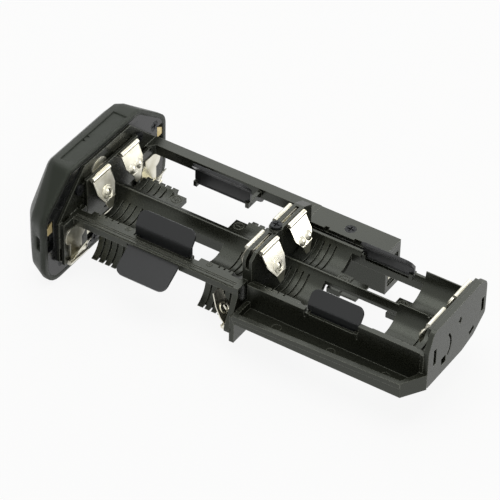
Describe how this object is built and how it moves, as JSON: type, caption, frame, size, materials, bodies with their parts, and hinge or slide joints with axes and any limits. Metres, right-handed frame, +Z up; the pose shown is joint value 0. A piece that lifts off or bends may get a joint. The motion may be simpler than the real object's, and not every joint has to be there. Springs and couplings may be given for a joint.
{
  "type": "battery magazine for a camera grip",
  "caption": "Open slide-out tray for AA cells with an end cap and quarter-turn lock, sprung contacts, sprung cell flaps, a side trough and a terminal block; goes into a camera battery grip.",
  "frame": {"origin": "centre of the footprint, on the plane of the cap's lowest edge", "axes": "+X from the end cap to the end plate, +Y from the trough side to the terminal side, +Z up"},
  "size_m": [0.1372, 0.0646, 0.0367],
  "materials": {
    "cap_shell": "satin dark grey",
    "head_plate": "glossy black",
    "frame": "moulded black, half gloss",
    "flaps": "satin black",
    "contacts": "nickel plated with a warm tint",
    "steel": "bright",
    "brass": "dull",
    "screws": "black"
  },
  "bodies": {
    "frame": {"cap_shell": "cap_shell", "head_plate": "head_plate", "cap_screws": "screws", "bolt_keepers": "brass", "frame_left": "frame", "frame_screws": "screws", "mid_bulkhead": "frame", "bulkhead_screw": "screws", "frame_right": "frame", "end_plate": "frame", "terminal_housing": "frame", "terminal_lid": "frame", "lid_screw": "screws", "terminal_blades": "contacts", "upper_clips": "contacts", "lower_clips": "contacts", "link_strips": "contacts"},
    "knob": {"lock_knob": "cap_shell", "cam_disc": "steel", "retaining_ring": "steel"},
    "bolt_near": {"bolt_near": "steel"},
    "bolt_far": {"bolt_far": "steel"},
    "leaf_cap_near": {"leaf_cap_near": "contacts"},
    "leaf_cap_far": {"leaf_cap_far": "contacts"},
    "leaf_cap_low_near": {"leaf_cap_low_near": "contacts"},
    "leaf_cap_low_far": {"leaf_cap_low_far": "contacts"},
    "leaf_mid_near": {"leaf_mid_near": "contacts"},
    "leaf_mid_far": {"leaf_mid_far": "contacts"},
    "leaf_mid_low_near": {"leaf_mid_low_near": "contacts"},
    "leaf_mid_low_far": {"leaf_mid_low_far": "contacts"},
    "leaf_right_near": {"leaf_right_near": "contacts"},
    "leaf_right_far": {"leaf_right_far": "contacts"},
    "leaf_end_near": {"leaf_end_near": "contacts"},
    "leaf_end_far": {"leaf_end_far": "contacts"},
    "flap_left_near": {"flap_left_near": "flaps"},
    "flap_left_far": {"flap_left_far": "flaps"},
    "flap_low_near": {"flap_low_near": "flaps"},
    "flap_low_far": {"flap_low_far": "flaps"},
    "flap_right_near": {"flap_right_near": "flaps"},
    "flap_right_far": {"flap_right_far": "flaps"}
  },
  "joints": [
    {"name": "knob_turn", "type": "hinge", "parent": "frame", "child": "knob", "pos_m": [-0.06255, 0, 0.0165], "axis": [1, 0, 0], "range_deg": [0, 90]},
    {"name": "bolt_near_slide", "type": "slide", "parent": "frame", "child": "bolt_near", "axis": [0, -1, 0], "range_m": [0, 0.004]},
    {"name": "bolt_far_slide", "type": "slide", "parent": "frame", "child": "bolt_far", "axis": [0, 1, 0], "range_m": [0, 0.004]},
    {"name": "leaf_cap_near_flex", "type": "hinge", "parent": "frame", "child": "leaf_cap_near", "pos_m": [-0.0527, -0.0075, 0.03015], "axis": [0, 1, 0], "range_deg": [0, 8], "stiffness_Nm_per_rad": 0.05},
    {"name": "leaf_cap_far_flex", "type": "hinge", "parent": "frame", "child": "leaf_cap_far", "pos_m": [-0.0527, 0.0075, 0.03015], "axis": [0, 1, 0], "range_deg": [0, 8], "stiffness_Nm_per_rad": 0.05},
    {"name": "leaf_cap_low_near_flex", "type": "hinge", "parent": "frame", "child": "leaf_cap_low_near", "pos_m": [-0.0527, -0.02, 0.0066], "axis": [0, -1, 0], "range_deg": [0, 8], "stiffness_Nm_per_rad": 0.05},
    {"name": "leaf_cap_low_far_flex", "type": "hinge", "parent": "frame", "child": "leaf_cap_low_far", "pos_m": [-0.0527, 0.02, 0.0066], "axis": [0, -1, 0], "range_deg": [0, 8], "stiffness_Nm_per_rad": 0.05},
    {"name": "leaf_mid_near_flex", "type": "hinge", "parent": "frame", "child": "leaf_mid_near", "pos_m": [0.0028, -0.0075, 0.03015], "axis": [0, -1, 0], "range_deg": [0, 8], "stiffness_Nm_per_rad": 0.05},
    {"name": "leaf_mid_far_flex", "type": "hinge", "parent": "frame", "child": "leaf_mid_far", "pos_m": [0.0028, 0.0075, 0.03015], "axis": [0, -1, 0], "range_deg": [0, 8], "stiffness_Nm_per_rad": 0.05},
    {"name": "leaf_mid_low_near_flex", "type": "hinge", "parent": "frame", "child": "leaf_mid_low_near", "pos_m": [0.0028, -0.02, 0.0084], "axis": [0, 1, 0], "range_deg": [0, 8], "stiffness_Nm_per_rad": 0.05},
    {"name": "leaf_mid_low_far_flex", "type": "hinge", "parent": "frame", "child": "leaf_mid_low_far", "pos_m": [0.0028, 0.02, 0.0084], "axis": [0, 1, 0], "range_deg": [0, 8], "stiffness_Nm_per_rad": 0.05},
    {"name": "leaf_right_near_flex", "type": "hinge", "parent": "frame", "child": "leaf_right_near", "pos_m": [0.0077, -0.0075, 0.03015], "axis": [0, 1, 0], "range_deg": [0, 8], "stiffness_Nm_per_rad": 0.05},
    {"name": "leaf_right_far_flex", "type": "hinge", "parent": "frame", "child": "leaf_right_far", "pos_m": [0.0077, 0.0075, 0.03015], "axis": [0, 1, 0], "range_deg": [0, 8], "stiffness_Nm_per_rad": 0.05},
    {"name": "leaf_end_near_flex", "type": "hinge", "parent": "frame", "child": "leaf_end_near", "pos_m": [0.0646, -0.0075, 0.03015], "axis": [0, -1, 0], "range_deg": [0, 8], "stiffness_Nm_per_rad": 0.05},
    {"name": "leaf_end_far_flex", "type": "hinge", "parent": "frame", "child": "leaf_end_far", "pos_m": [0.0646, 0.0075, 0.03015], "axis": [0, -1, 0], "range_deg": [0, 8], "stiffness_Nm_per_rad": 0.05},
    {"name": "flap_left_near_flex", "type": "hinge", "parent": "frame", "child": "flap_left_near", "pos_m": [-0.02385, -0.016, 0.0203], "axis": [1, 0, 0], "range_deg": [0, 12], "stiffness_Nm_per_rad": 0.05},
    {"name": "flap_left_far_flex", "type": "hinge", "parent": "frame", "child": "flap_left_far", "pos_m": [-0.02385, 0.016, 0.0203], "axis": [-1, 0, 0], "range_deg": [0, 12], "stiffness_Nm_per_rad": 0.05},
    {"name": "flap_low_near_flex", "type": "hinge", "parent": "frame", "child": "flap_low_near", "pos_m": [-0.02485, -0.01975, 0.01955], "axis": [-1, 0, 0], "range_deg": [0, 15], "stiffness_Nm_per_rad": 0.05},
    {"name": "flap_low_far_flex", "type": "hinge", "parent": "frame", "child": "flap_low_far", "pos_m": [-0.02485, 0.02495, 0.01955], "axis": [1, 0, 0], "range_deg": [0, 12], "stiffness_Nm_per_rad": 0.05},
    {"name": "flap_right_near_flex", "type": "hinge", "parent": "frame", "child": "flap_right_near", "pos_m": [0.03565, -0.016, 0.0203], "axis": [1, 0, 0], "range_deg": [0, 15], "stiffness_Nm_per_rad": 0.05},
    {"name": "flap_right_far_flex", "type": "hinge", "parent": "frame", "child": "flap_right_far", "pos_m": [0.03565, 0.0151, 0.0203], "axis": [-1, 0, 0], "range_deg": [0, 20], "stiffness_Nm_per_rad": 0.05}
  ],
  "couplings": [
    {"joint": "bolt_near_slide", "follows": "knob_turn", "m_per_rad": 0.0025465},
    {"joint": "bolt_far_slide", "follows": "knob_turn", "m_per_rad": 0.0025465}
  ]
}
